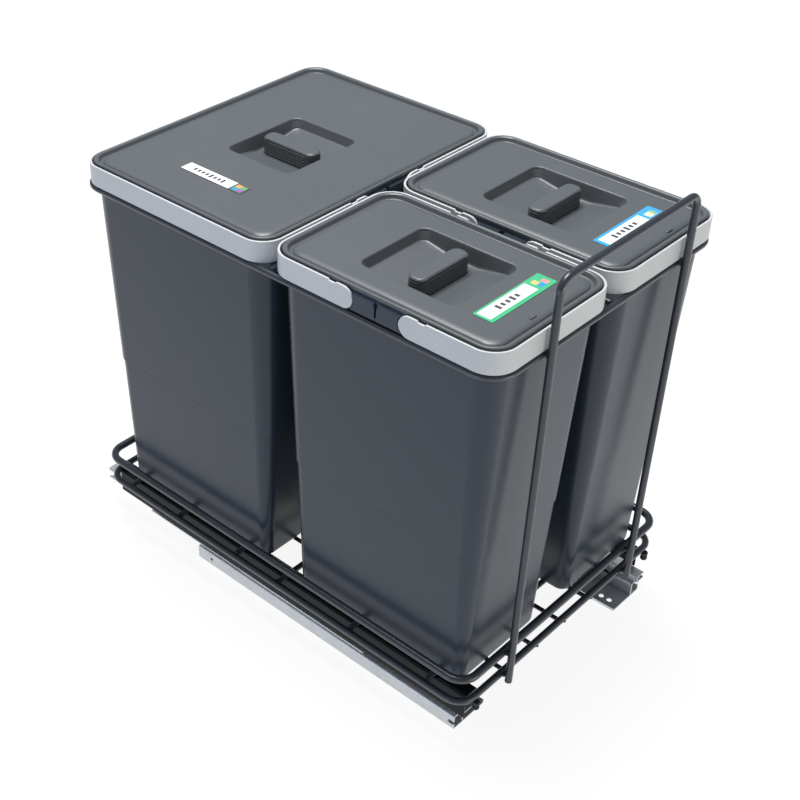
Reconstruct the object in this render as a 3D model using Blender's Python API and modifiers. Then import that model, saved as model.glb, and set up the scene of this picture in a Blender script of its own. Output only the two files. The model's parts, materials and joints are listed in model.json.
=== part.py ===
"""Pull-out waste sorting unit for a kitchen base cabinet.

One wide bin at the rear and two narrow bins at the front stand in a wire carriage that rolls on two
full-extension runners screwed to the cabinet floor.  X is the width, Y the depth (front is -Y), Z up,
metres; the floor of the cabinet is z = 0.
"""
import math

import bmesh
import bpy
from mathutils import Matrix, Vector

GAP = 0.0003                       # clearance left between pieces that rest on each other

# ---- wire carriage -------------------------------------------------------------------------------
BASE_HALF_X = 0.1584               # centre lines of the two base loops
BASE_FRONT_Y = -0.2479
BASE_REAR_Y = 0.2375
BASE_CORNER = 0.018
BASE_UPPER_Z = 0.0851
BASE_LOWER_Z = 0.0573
BASE_UPPER_R = 0.0040
BASE_LOWER_R = 0.0035
FLOOR_LONG_X = (-0.0900, -0.0450, 0.0, 0.0450, 0.0900)
FLOOR_LONG_R = 0.00225
FLOOR_CROSS_Y = (-0.2040, -0.1100, -0.0150, 0.0450, 0.1300, 0.2050)
FLOOR_CROSS_R = 0.0030
RIM_HALF_X = 0.1598                # loop that rings the three bins under their handles
RIM_FRONT_Y = -0.2504
RIM_REAR_Y = 0.2370
RIM_CORNER = 0.0240
RIM_Z = 0.4119
RIM_R = 0.0030
HOOP_HALF_X = 0.0980
HOOP_TOP_Z = 0.4794
HOOP_FOOT_Z = 0.0500
HOOP_TOP_Y = -0.2574
HOOP_FOOT_Y = -0.2560
HOOP_CORNER = 0.0120
HOOP_R = 0.0035
UPRIGHT_X = 0.0980
UPRIGHT_R = 0.0030

# ---- runners -------------------------------------------------------------------------------------
RUNNER_OUT_X = 0.1417              # outer face of the cabinet members
FOOT_IN_X = 0.0950                 # free edge of the foot plates
BOX_IN_X = 0.1272
BOX_TOP_Z = 0.0172
SHEET = 0.0015
CABINET_LENGTH = 0.3463
CABINET_FRONT_Y = {"left": -0.2302, "right": -0.2502}
MIDDLE_LENGTH = 0.3090
MIDDLE_FRONT_Y = {"left": -0.1170, "right": -0.2540}
CARRIAGE_TRAVEL = 0.4000            # the middle members go half as far, their ball cages a quarter
CAGE_END = 0.0020                  # cage end to the end of the shared track
CAGE_LENGTH = 0.1670               # longest ball cage
DRAWER_FRONT_Y = -0.2396
DRAWER_REAR_Y = 0.2609
RAIL_FRONT_Y = -0.2415
RAIL_REAR_Y = 0.2370
FOOT_HOLES = ((0.1064, 0.0115), (0.1064, 0.0210), (0.1064, 0.0550), (0.1064, 0.2400), (0.1064, 0.3200))
FOOT_HOLE_R = 0.0028

# ---- bins ----------------------------------------------------------------------------------------
HANDLE_LOW_Z = 0.4154
HANDLE_HIGH_Z = 0.4360
HANDLE_SHEET = 0.0022
HANDLE_CORNER = 0.0240
PIVOT_Z = 0.5 * (HANDLE_LOW_Z + HANDLE_HIGH_Z)
PIVOT_OFFSET = 0.0345              # pivots each side of the middle of the long sides
BOSS_R = 0.0040
BOSS_LENGTH = 0.0016
BIN_FLOOR_Z = 0.0607
SHOULDER_Z = 0.4160                # the wall steps outward here, just above the rim loop
BIN_TOP_Z = 0.4330
PARTING_Z = 0.2140
WALL = 0.0020
DRAFT = 0.0140                     # how far each wall leans inward from shoulder to floor
WALL_INSET = 0.0062                # handle outer face to bin wall under the shoulder
FOOT_CORNER = 0.0100               # upright corners of the bins at the floor
COLLAR_INSET = 0.0030              # handle outer face to collar face
LID_INSET = 0.0039                 # handle outer face to lid edge
BEAD_Z = 0.4377                    # rolled edge of the lid
GROOVE_Z = 0.4352                  # groove between the two
PANEL_Z = 0.4358                   # raised middle panel of the lid
POCKET_FLOOR_Z = 0.4200
LID_SHEET = 0.0022
LABEL_SHEET = 0.0003

# outline of the handles round each bin: x from, x to, y from, y to, long axis
BINS = {
    "rear": (-0.16185, 0.16185, -0.0074, 0.2361, "X"),
    "left": (-0.16185, -0.0024, -0.2521, -0.0096, "Y"),
    "right": (0.0024, 0.16185, -0.2521, -0.0096, "Y"),
}
POCKETS = {"rear": (0.0965, 0.0810), "left": (0.0850, 0.1010), "right": (0.0850, 0.1010)}
GRIP_LENGTH = {"rear": 0.0680, "left": 0.0680, "right": 0.0680}
GRIP_WIDTH = 0.0200
LABELS = {  # centre x, centre y, size x, size y
    "rear": (-0.1003, 0.1157, 0.0145, 0.0783),
    "left": (-0.0806, -0.2074, 0.0865, 0.0198),
    "right": (0.0823, -0.2088, 0.0865, 0.0198),
}

COLOURS = {
    "bin_plastic": (0.075, 0.080, 0.086, 1.0),
    "lid_plastic": (0.050, 0.054, 0.060, 1.0),
    "handle_plastic": (0.47, 0.47, 0.50, 1.0),
    "coated_wire": (0.050, 0.060, 0.072, 1.0),
    "zinc_sheet": (0.52, 0.54, 0.55, 1.0),
    "black_rubber": (0.012, 0.012, 0.012, 1.0),
    "label_grey": (0.62, 0.63, 0.64, 1.0),
    "label_green": (0.20, 0.42, 0.12, 1.0),
    "label_blue": (0.10, 0.26, 0.50, 1.0),
}
METALS = {"zinc_sheet"}


# ---- scene helpers -------------------------------------------------------------------------------
def clear_scene():
    for item in list(bpy.data.objects):
        bpy.data.objects.remove(item, do_unlink=True)


def make_collection(name):
    collection = bpy.data.collections.new(name)
    bpy.context.scene.collection.children.link(collection)
    return collection


def make_material(name, kind):
    material = bpy.data.materials.new(name)
    material.use_nodes = True
    shader = material.node_tree.nodes["Principled BSDF"]
    shader.inputs["Base Color"].default_value = COLOURS[kind]
    shader.inputs["Metallic"].default_value = 1.0 if kind in METALS else 0.0
    shader.inputs["Roughness"].default_value = 0.4
    return material


def make_object(name, bm, kind=None, smooth_angle=35.0):
    bmesh.ops.recalc_face_normals(bm, faces=bm.faces[:])
    mesh = bpy.data.meshes.new(name)
    bm.to_mesh(mesh)
    bm.free()
    item = bpy.data.objects.new(name, mesh)
    if kind is None:
        CUTTERS.objects.link(item)
        item.hide_render = True
        item.display_type = "WIRE"
    else:
        PARTS.objects.link(item)
        mesh.materials.append(make_material(name, kind))
        mesh.shade_smooth()
        mesh.set_sharp_from_angle(angle=math.radians(smooth_angle))
    return item


def join_into(bm, other):
    mesh = bpy.data.meshes.new("joined")
    other.to_mesh(mesh)
    other.free()
    bm.from_mesh(mesh)
    bpy.data.meshes.remove(mesh)


def add_boolean(item, cutter, operation):
    modifier = item.modifiers.new(operation.title(), "BOOLEAN")
    modifier.operation = operation
    modifier.solver = "EXACT"
    modifier.object = cutter


def add_solidify(item, thickness, offset=-1.0):
    modifier = item.modifiers.new("Wall", "SOLIDIFY")
    modifier.thickness = thickness
    modifier.offset = offset
    modifier.use_even_offset = True


def add_bevel(item, width, segments=2, angle=40.0):
    modifier = item.modifiers.new("Edges", "BEVEL")
    modifier.width = width
    modifier.segments = segments
    modifier.limit_method = "ANGLE"
    modifier.angle_limit = math.radians(angle)


def set_origin(item, point):
    shift = Vector(point)
    item.data.transform(Matrix.Translation(-shift))
    item.location = shift


# ---- solid helpers -------------------------------------------------------------------------------
def block(x0, x1, y0, y1, z0, z1, inset=0.0):
    """Cuboid whose bottom face is smaller by `inset` on every side."""
    bm = bmesh.new()
    bmesh.ops.create_cube(bm, size=1.0)
    for vert in bm.verts:
        shrink = inset if vert.co.z < 0.0 else 0.0
        x = x1 - shrink if vert.co.x > 0.0 else x0 + shrink
        y = y1 - shrink if vert.co.y > 0.0 else y0 + shrink
        z = z1 if vert.co.z > 0.0 else z0
        vert.co = (x, y, z)
    return bm


def edge_rise(edge):
    return abs(edge.verts[0].co.z - edge.verts[1].co.z)


def rounded_block(x0, x1, y0, y1, z0, z1, corner, inset=0.0, segments=6):
    """Cuboid with its four upright edges rounded."""
    bm = block(x0, x1, y0, y1, z0, z1, inset)
    upright = [edge for edge in bm.edges if edge_rise(edge) > 0.5 * (z1 - z0)]
    bmesh.ops.bevel(bm, geom=upright, offset=corner, segments=segments, profile=0.5, affect="EDGES")
    return bm


def face_at(bm, z, upward):
    """The largest level face at height z that looks up or down."""
    level = [face for face in bm.faces if abs(face.calc_center_median().z - z) < 1e-5]
    level = [face for face in level if (face.normal.z > 0.9) == upward and abs(face.normal.z) > 0.9]
    return max(level, key=lambda face: face.calc_area())


def inset_face(bm, face, thickness, rise=0.0):
    """Shrink a level face inside its border and lift the shrunken face."""
    bmesh.ops.inset_region(bm, faces=[face], thickness=thickness, depth=0.0, use_even_offset=True)
    bmesh.ops.translate(bm, verts=face.verts[:], vec=(0.0, 0.0, rise))
    return face


def push_face(bm, face, rise):
    """Extrude one level face straight up or down."""
    result = bmesh.ops.extrude_discrete_faces(bm, faces=[face])
    moved = result["faces"][0]
    bmesh.ops.translate(bm, verts=moved.verts[:], vec=(0.0, 0.0, rise))
    return moved


def cylinder(radius, length, centre, axis, segments=16):
    bm = bmesh.new()
    bmesh.ops.create_cone(
        bm, cap_ends=True, segments=segments, radius1=radius, radius2=radius, depth=length
    )
    turn = {
        "X": Matrix.Rotation(math.pi / 2, 4, "Y"),
        "Y": Matrix.Rotation(-math.pi / 2, 4, "X"),
        "Z": Matrix.Identity(4),
    }[axis]
    bmesh.ops.transform(bm, matrix=Matrix.Translation(centre) @ turn, verts=bm.verts[:])
    return bm


def corner_arc(centre, radius, start, stop, steps):
    for step in range(steps + 1):
        angle = math.radians(start + (stop - start) * step / steps)
        yield centre[0] + radius * math.cos(angle), centre[1] + radius * math.sin(angle)


def rounded_rectangle(x0, x1, y0, y1, corner, steps=6):
    points = []
    corners = (
        ((x1 - corner, y1 - corner), 0.0),
        ((x0 + corner, y1 - corner), 90.0),
        ((x0 + corner, y0 + corner), 180.0),
        ((x1 - corner, y0 + corner), 270.0),
    )
    for centre, start in corners:
        points.extend(corner_arc(centre, corner, start, start + 90.0, steps))
    return points


def wire(name, points, radius, closed, resolution=2):
    """Bent round wire through the given points, with flat ends when open."""
    curve = bpy.data.curves.new(name, "CURVE")
    curve.dimensions = "3D"
    curve.bevel_depth = radius
    curve.bevel_resolution = resolution
    curve.use_fill_caps = not closed
    spline = curve.splines.new("POLY")
    spline.points.add(len(points) - 1)
    for target, point in zip(spline.points, points):
        target.co = (*point, 1.0)
    spline.use_cyclic_u = closed
    source = bpy.data.objects.new(name + "_path", curve)
    CUTTERS.objects.link(source)
    graph = bpy.context.evaluated_depsgraph_get()
    mesh = bpy.data.meshes.new_from_object(source.evaluated_get(graph))
    bpy.data.objects.remove(source, do_unlink=True)
    bm = bmesh.new()
    bm.from_mesh(mesh)
    bpy.data.meshes.remove(mesh)
    bmesh.ops.remove_doubles(bm, verts=bm.verts[:], dist=1e-6)
    return make_object(name, bm, "coated_wire", 50.0)


def straight_wire(name, centre, length, axis, radius):
    return make_object(name, cylinder(radius, length, centre, axis, 12), "coated_wire", 50.0)


def folded_sheet(name, path, y0, y1, thickness, kind):
    """Sheet folded along a path in the XZ plane and running from y0 to y1."""
    bm = bmesh.new()
    verts = [bm.verts.new((x, y0, z)) for x, z in path]
    edges = [bm.edges.new(pair) for pair in zip(verts, verts[1:])]
    result = bmesh.ops.extrude_edge_only(bm, edges=edges)
    moved = [part for part in result["geom"] if isinstance(part, bmesh.types.BMVert)]
    bmesh.ops.translate(bm, verts=moved, vec=(0.0, y1 - y0, 0.0))
    item = make_object(name, bm, kind)
    add_solidify(item, thickness, 0.0)
    return item


def mirrored(side, path):
    sign = -1.0 if side == "left" else 1.0
    return [(sign * x, z) for x, z in path]


# ---- runners -------------------------------------------------------------------------------------
def build_cabinet_member(side):
    half = 0.5 * SHEET
    front = CABINET_FRONT_Y[side]
    path = (
        (FOOT_IN_X + half, 0.0042),
        (FOOT_IN_X + half, half),
        (RUNNER_OUT_X - half, half),
        (RUNNER_OUT_X - half, BOX_TOP_Z - half),
        (BOX_IN_X + half, BOX_TOP_Z - half),
        (BOX_IN_X + half, SHEET + GAP),
    )
    item = folded_sheet(
        "cabinet_member_" + side, mirrored(side, path), front, front + CABINET_LENGTH, SHEET, "zinc_sheet"
    )
    holes = bmesh.new()
    sign = -1.0 if side == "left" else 1.0
    for x, y in FOOT_HOLES:
        join_into(holes, cylinder(FOOT_HOLE_R, 4 * SHEET, (sign * x, front + y, half), "Z", 16))
    add_boolean(item, make_object("foot_holes_" + side, holes), "DIFFERENCE")


def build_middle_member(side):
    front = MIDDLE_FRONT_Y[side]
    path = ((0.1408, 0.0216), (0.1408, 0.0200), (0.1296, 0.0200), (0.1296, 0.0272), (0.1408, 0.0272), (0.1408, 0.0256))
    folded_sheet(
        "runner_middle_" + side, mirrored(side, path), front, front + MIDDLE_LENGTH, 0.0012, "zinc_sheet"
    )


def build_ball_cage(side):
    """Cage as long as the track that its two members share at both ends of the travel."""
    sign = -1.0 if side == "left" else 1.0
    roll = 0.25 * CARRIAGE_TRAVEL
    cabinet_rear = CABINET_FRONT_Y[side] + CABINET_LENGTH
    middle_rear = MIDDLE_FRONT_Y[side] + MIDDLE_LENGTH
    start = max(CABINET_FRONT_Y[side] + roll, MIDDLE_FRONT_Y[side]) + CAGE_END
    stop = min(min(cabinet_rear, middle_rear - roll) - CAGE_END, start + CAGE_LENGTH)
    xs = sorted((sign * 0.1315, sign * 0.1405))
    bm = block(xs[0], xs[1], start, stop, BOX_TOP_Z + GAP, 0.0200 - 0.0006 - GAP)
    make_object("ball_cage_" + side, bm, "zinc_sheet")


def build_drawer_member(side):
    path = (
        (0.1411, 0.0322),
        (0.1411, 0.0292),
        (0.1280, 0.0292),
        (0.1280, 0.0426),
        (0.1411, 0.0426),
        (0.1411, 0.0396),
    )
    folded_sheet(
        "drawer_member_" + side, mirrored(side, path), DRAWER_FRONT_Y, DRAWER_REAR_Y, 0.0012, "zinc_sheet"
    )


def build_rail(side):
    path = ((0.1429, 0.0268), (0.1429, 0.0532), (0.1265, 0.0532), (0.1265, 0.0480))
    folded_sheet("rail_" + side, mirrored(side, path), RAIL_FRONT_Y, RAIL_REAR_Y, 0.0014, "coated_wire")


def build_buffer(side):
    sign = -1.0 if side == "left" else 1.0
    top = BASE_LOWER_Z - BASE_LOWER_R - GAP
    bm = cylinder(0.0036, 0.0090, (sign * 0.1400, -0.2510, top - 0.0045), "Z", 16)
    item = make_object("buffer_" + side, bm, "black_rubber")
    add_bevel(item, 0.0008, 2)


# ---- wire carriage -------------------------------------------------------------------------------
def flat_loop(x0, x1, y0, y1, corner, z):
    return [(x, y, z) for x, y in rounded_rectangle(x0, x1, y0, y1, corner)]


def build_loops():
    lower = flat_loop(-BASE_HALF_X, BASE_HALF_X, BASE_FRONT_Y, BASE_REAR_Y, BASE_CORNER, BASE_LOWER_Z)
    upper = flat_loop(-BASE_HALF_X, BASE_HALF_X, BASE_FRONT_Y, BASE_REAR_Y, BASE_CORNER, BASE_UPPER_Z)
    rim = flat_loop(-RIM_HALF_X, RIM_HALF_X, RIM_FRONT_Y, RIM_REAR_Y, RIM_CORNER, RIM_Z)
    wire("base_loop_lower", lower, BASE_LOWER_R, True)
    wire("base_loop_upper", upper, BASE_UPPER_R, True)
    wire("rim_loop", rim, RIM_R, True)


def build_hoop():
    """Front hoop: two legs, two tight bends and a level top bar."""
    points = [(-HOOP_HALF_X, HOOP_FOOT_Y, HOOP_FOOT_Z)]
    high = HOOP_TOP_Z - HOOP_CORNER
    for x, z in corner_arc((-HOOP_HALF_X + HOOP_CORNER, high), HOOP_CORNER, 180.0, 90.0, 5):
        points.append((x, HOOP_TOP_Y, z))
    for x, z in corner_arc((HOOP_HALF_X - HOOP_CORNER, high), HOOP_CORNER, 90.0, 0.0, 5):
        points.append((x, HOOP_TOP_Y, z))
    points.append((HOOP_HALF_X, HOOP_FOOT_Y, HOOP_FOOT_Z))
    wire("front_hoop", points, HOOP_R, False)


def build_floor_wires():
    low = BASE_LOWER_Z - BASE_LOWER_R - FLOOR_LONG_R - GAP
    length = BASE_REAR_Y - BASE_FRONT_Y + 2 * BASE_LOWER_R
    middle = 0.5 * (BASE_REAR_Y + BASE_FRONT_Y)
    for index, x in enumerate(FLOOR_LONG_X):
        straight_wire(f"floor_wire_long_{index + 1}", (x, middle, low), length, "Y", FLOOR_LONG_R)
    width = 2 * (BASE_HALF_X - BASE_LOWER_R - GAP)
    for index, y in enumerate(FLOOR_CROSS_Y):
        centre = (0.0, y, BASE_LOWER_Z)
        straight_wire(f"floor_wire_cross_{index + 1}", centre, width, "X", FLOOR_CROSS_R)


def build_rim_wires():
    """Wires that part the rim loop into one bay per bin."""
    gap_y = 0.5 * (BINS["rear"][2] + BINS["left"][3])
    width = 2 * (RIM_HALF_X - RIM_R - GAP)
    straight_wire("rim_cross_wire", (0.0, gap_y, RIM_Z), width, "X", RIM_R)
    start = RIM_FRONT_Y + RIM_R + GAP
    stop = gap_y - RIM_R - GAP
    centre = (0.0, 0.5 * (start + stop), RIM_Z)
    straight_wire("rim_middle_wire", centre, stop - start, "Y", RIM_R)


def build_uprights():
    """Rear legs, welded to the outside of the three loops."""
    y = BASE_REAR_Y + BASE_UPPER_R + UPRIGHT_R + GAP
    top = RIM_Z + RIM_R
    low = HOOP_FOOT_Z
    for side, sign in (("left", -1.0), ("right", 1.0)):
        centre = (sign * UPRIGHT_X, y, 0.5 * (top + low))
        straight_wire("rear_upright_" + side, centre, top - low, "Z", UPRIGHT_R)


# ---- bins ----------------------------------------------------------------------------------------
def shrink(outline, amount):
    x0, x1, y0, y1 = outline[:4]
    return x0 + amount, x1 - amount, y0 + amount, y1 - amount


def middle_of(outline):
    return 0.5 * (outline[0] + outline[1]), 0.5 * (outline[2] + outline[3])


def along(outline, distance, across):
    """Point at `distance` from the middle along the long axis and `across` it."""
    x, y = middle_of(outline)
    return (x + distance, y + across) if outline[4] == "X" else (x + across, y + distance)


def half_width(outline):
    """Half the short side, measured to the outer face of the handles."""
    return 0.5 * (outline[3] - outline[2] if outline[4] == "X" else outline[1] - outline[0])


def side_fittings(outline):
    """Pivot bosses and the two filler pads on each long side of the collar."""
    bm = bmesh.new()
    face = half_width(outline) - COLLAR_INSET
    across_axis = "Y" if outline[4] == "X" else "X"
    bury = 0.0008
    for sign in (-1.0, 1.0):
        for pivot in (-PIVOT_OFFSET, PIVOT_OFFSET):
            x, y = along(outline, pivot, sign * (face + 0.5 * (BOSS_LENGTH - bury)))
            join_into(bm, cylinder(BOSS_R, BOSS_LENGTH + bury, (x, y, PIVOT_Z), across_axis, 12))
        for pad in (-1.0, 1.0):
            a = along(outline, pad * 0.0011, sign * (face - bury))
            b = along(outline, pad * 0.0226, sign * (face + COLLAR_INSET - 0.0004))
            xs = sorted((a[0], b[0]))
            ys = sorted((a[1], b[1]))
            join_into(bm, block(xs[0], xs[1], ys[0], ys[1], SHOULDER_Z + 0.0006, BIN_TOP_Z - 0.0010))
    return bm


def tapered_block(outline):
    """Bin shape: drafted walls whose upright corners are tight at the floor and wide at the shoulder."""
    x0, x1, y0, y1 = shrink(outline, WALL_INSET)
    low = rounded_rectangle(x0 + DRAFT, x1 - DRAFT, y0 + DRAFT, y1 - DRAFT, FOOT_CORNER)
    high = rounded_rectangle(x0, x1, y0, y1, HANDLE_CORNER - WALL_INSET + 0.004)
    bm = bmesh.new()
    bottom = [bm.verts.new((x, y, BIN_FLOOR_Z)) for x, y in low]
    top = [bm.verts.new((x, y, SHOULDER_Z)) for x, y in high]
    bm.faces.new(bottom[::-1])
    bm.faces.new(top)
    for index in range(len(low)):
        following = (index + 1) % len(low)
        bm.faces.new((bottom[index], bottom[following], top[following], top[index]))
    bmesh.ops.recalc_face_normals(bm, faces=bm.faces[:])
    return bm


def build_bin_body(name, outline):
    x0, x1, y0, y1 = shrink(outline, WALL_INSET)
    bm = tapered_block(outline)
    bottom = face_at(bm, BIN_FLOOR_Z, False)
    bmesh.ops.bevel(bm, geom=bottom.edges[:], offset=0.004, segments=2, profile=0.5, affect="EDGES")
    for height in (PARTING_Z, PARTING_Z - 0.0008):
        bmesh.ops.bisect_plane(
            bm, geom=bm.verts[:] + bm.edges[:] + bm.faces[:], plane_co=(0, 0, height), plane_no=(0, 0, 1)
        )
    cx, cy = middle_of(outline)
    for vert in bm.verts:
        if vert.co.z < PARTING_Z - 0.0004:
            vert.co.x -= math.copysign(0.0008, vert.co.x - cx)
            vert.co.y -= math.copysign(0.0008, vert.co.y - cy)
    top = face_at(bm, SHOULDER_Z, True)
    step = WALL_INSET - COLLAR_INSET
    top = push_face(bm, top, 0.0)
    scale_x = (0.5 * (x1 - x0) + step) / (0.5 * (x1 - x0))
    scale_y = (0.5 * (y1 - y0) + step) / (0.5 * (y1 - y0))
    about = Matrix.Translation((-cx, -cy, 0.0))
    bmesh.ops.scale(bm, vec=(scale_x, scale_y, 1.0), space=about, verts=top.verts[:])
    bmesh.ops.translate(bm, verts=top.verts[:], vec=(0.0, 0.0, 0.0002))
    top = push_face(bm, top, BIN_TOP_Z - SHOULDER_Z - 0.0002)
    bmesh.ops.delete(bm, geom=[top], context="FACES_ONLY")
    item = make_object("bin_body_" + name, bm, "bin_plastic")
    add_solidify(item, WALL)
    add_boolean(item, make_object("bin_fittings_" + name, side_fittings(outline)), "UNION")
    set_origin(item, (cx, cy, BIN_FLOOR_Z))


def build_lid(name, outline):
    """Rolled edge, groove and raised panel with a pocket; a skirt under it drops into the bin."""
    x0, x1, y0, y1 = shrink(outline, LID_INSET)
    low = BIN_TOP_Z + GAP
    bm = rounded_block(x0, x1, y0, y1, low, BEAD_Z, HANDLE_CORNER - LID_INSET)
    top = face_at(bm, BEAD_Z, True)
    rim = top.edges[:]
    top = inset_face(bm, top, 0.0048)
    inner = top.edges[:]
    top = inset_face(bm, top, 0.0014, GROOVE_Z - BEAD_Z)
    top = inset_face(bm, top, 0.0020)
    top = inset_face(bm, top, 0.0018, 0.7 * (PANEL_Z - GROOVE_Z))
    inset_face(bm, top, 0.0050, 0.3 * (PANEL_Z - GROOVE_Z))
    bmesh.ops.bevel(bm, geom=rim + inner, offset=0.0012, segments=2, profile=0.5, affect="EDGES")
    under = face_at(bm, low, False)
    under = inset_face(bm, under, 0.0034)
    under = push_face(bm, under, -0.0050)
    under = inset_face(bm, under, 0.0018)
    push_face(bm, under, 0.0050 + PANEL_Z - LID_SHEET - low)
    item = make_object("lid_" + name, bm, "lid_plastic")
    cx, cy = middle_of(outline)
    size_x, size_y = POCKETS[name]
    wall = LID_SHEET
    span = (cx - 0.5 * size_x, cx + 0.5 * size_x, cy - 0.5 * size_y, cy + 0.5 * size_y)
    outer = shrink(span, -wall)
    cup = rounded_block(*outer, POCKET_FLOOR_Z - wall, PANEL_Z - 0.0008, 0.012, 0.0028, 5)
    hollow = rounded_block(*span, POCKET_FLOOR_Z, PANEL_Z + 0.0010, 0.010, 0.0028, 5)
    floor = face_at(hollow, POCKET_FLOOR_Z, False)
    bmesh.ops.bevel(hollow, geom=floor.edges[:], offset=0.002, segments=2, profile=0.5, affect="EDGES")
    add_boolean(item, make_object("pocket_cup_" + name, cup), "UNION")
    add_boolean(item, make_object("pocket_hollow_" + name, hollow), "DIFFERENCE")
    set_origin(item, (cx, cy, low))


def build_grip(name, outline):
    cx, cy = middle_of(outline)
    half_long = 0.5 * GRIP_LENGTH[name]
    half_wide = 0.5 * GRIP_WIDTH
    hx, hy = (half_wide, half_long) if outline[4] == "X" else (half_long, half_wide)
    low = POCKET_FLOOR_Z + GAP
    high = PANEL_Z + 0.0014
    bm = rounded_block(cx - hx, cx + hx, cy - hy, cy + hy, low, high, 0.0070, 0.0010, 4)
    top = face_at(bm, high, True)
    bmesh.ops.bevel(bm, geom=top.edges[:], offset=0.0028, segments=3, profile=0.5, affect="EDGES")
    item = make_object("grip_" + name, bm, "lid_plastic")
    set_origin(item, (cx, cy, low))


def build_label(name, kind):
    cx, cy, size_x, size_y = LABELS[name]
    low = PANEL_Z + 0.0002
    bm = block(
        cx - 0.5 * size_x, cx + 0.5 * size_x, cy - 0.5 * size_y, cy + 0.5 * size_y, low, low + LABEL_SHEET
    )
    make_object("label_" + name, bm, kind)


def handle_ring(outline):
    """Upright wall that follows the rounded outline of the bin."""
    bm = rounded_block(*outline[:4], HANDLE_LOW_Z, HANDLE_HIGH_Z, HANDLE_CORNER)
    flat = [face for face in bm.faces if abs(face.normal.z) > 0.9]
    bmesh.ops.delete(bm, geom=flat, context="FACES_ONLY")
    return bm


def handle_envelope(outline, end):
    """Everything from the rounded tips at the pivots to beyond one end of the bin."""
    radius = 0.5 * (HANDLE_HIGH_Z - HANDLE_LOW_Z)
    reach = 0.2000
    across = 2 * half_width(outline) + 0.02
    long_axis_x = outline[4] == "X"
    tip = along(outline, end * PIVOT_OFFSET, 0.0)
    far = along(outline, end * reach, 0.0)
    side = 0.5 * across
    if long_axis_x:
        xs = sorted((tip[0], far[0]))
        bm = block(xs[0], xs[1], tip[1] - side, tip[1] + side, HANDLE_LOW_Z, HANDLE_HIGH_Z)
    else:
        ys = sorted((tip[1], far[1]))
        bm = block(tip[0] - side, tip[0] + side, ys[0], ys[1], HANDLE_LOW_Z, HANDLE_HIGH_Z)
    axis = "Y" if long_axis_x else "X"
    tips = cylinder(radius, across - 0.002, (tip[0], tip[1], PIVOT_Z), axis, 24)
    return bm, tips


def handle_cuts(outline, end):
    """Blind holes for the bosses and the finger notches in the top edge."""
    bm = bmesh.new()
    axis = "Y" if outline[4] == "X" else "X"
    inner = half_width(outline) - HANDLE_SHEET
    depth = BOSS_LENGTH + COLLAR_INSET - 0.0030 - (COLLAR_INSET - HANDLE_SHEET) + 0.0003
    for sign in (-1.0, 1.0):
        x, y = along(outline, end * PIVOT_OFFSET, sign * (inner + depth - 0.002))
        join_into(bm, cylinder(BOSS_R + 0.0003, 0.004, (x, y, PIVOT_Z), axis, 16))
        a = along(outline, end * (PIVOT_OFFSET + 0.0075), sign * (inner - 0.001))
        b = along(outline, end * (PIVOT_OFFSET + 0.0165), sign * (inner + HANDLE_SHEET + 0.001))
        xs = sorted((a[0], b[0]))
        ys = sorted((a[1], b[1]))
        join_into(bm, block(xs[0], xs[1], ys[0], ys[1], HANDLE_HIGH_Z - 0.0016, HANDLE_HIGH_Z + 0.0010))
    return bm


def build_handle(name, outline, end, side):
    item = make_object(f"handle_{name}_{side}", handle_ring(outline), "handle_plastic", 30.0)
    add_solidify(item, HANDLE_SHEET)
    slab, tips = handle_envelope(outline, end)
    slab_item = make_object(f"handle_reach_{name}_{side}", slab)
    tips_item = make_object(f"handle_tips_{name}_{side}", tips)
    add_boolean(slab_item, tips_item, "UNION")
    add_boolean(item, slab_item, "INTERSECT")
    add_boolean(item, make_object(f"handle_cuts_{name}_{side}", handle_cuts(outline, end)), "DIFFERENCE")
    pivot = along(outline, end * PIVOT_OFFSET, 0.0)
    set_origin(item, (pivot[0], pivot[1], PIVOT_Z))


def build_bins():
    label_kinds = {"rear": "label_grey", "left": "label_green", "right": "label_blue"}
    ends = {"X": ((-1.0, "left"), (1.0, "right")), "Y": ((-1.0, "front"), (1.0, "back"))}
    for name, outline in BINS.items():
        build_bin_body(name, outline)
        build_lid(name, outline)
        build_grip(name, outline)
        build_label(name, label_kinds[name])
        for end, side in ends[outline[4]]:
            build_handle(name, outline, end, side)


clear_scene()
PARTS = make_collection("sorting_unit")
CUTTERS = make_collection("cutters")
for runner_side in ("left", "right"):
    build_cabinet_member(runner_side)
    build_middle_member(runner_side)
    build_ball_cage(runner_side)
    build_drawer_member(runner_side)
    build_rail(runner_side)
    build_buffer(runner_side)
build_loops()
build_hoop()
build_floor_wires()
build_rim_wires()
build_uprights()
build_bins()
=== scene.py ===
"""Looks of a pull-out waste sorting unit: three lidded bins in a wire carriage on cabinet runners.

Front is -Y, the cabinet floor is z = 0, and everything is in metres.  Each visible piece is rebuilt with a
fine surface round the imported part, rides on the same body, and gets a node material.
"""
import json
import math

import bmesh
import bpy
from mathutils import Matrix, Vector


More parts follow.
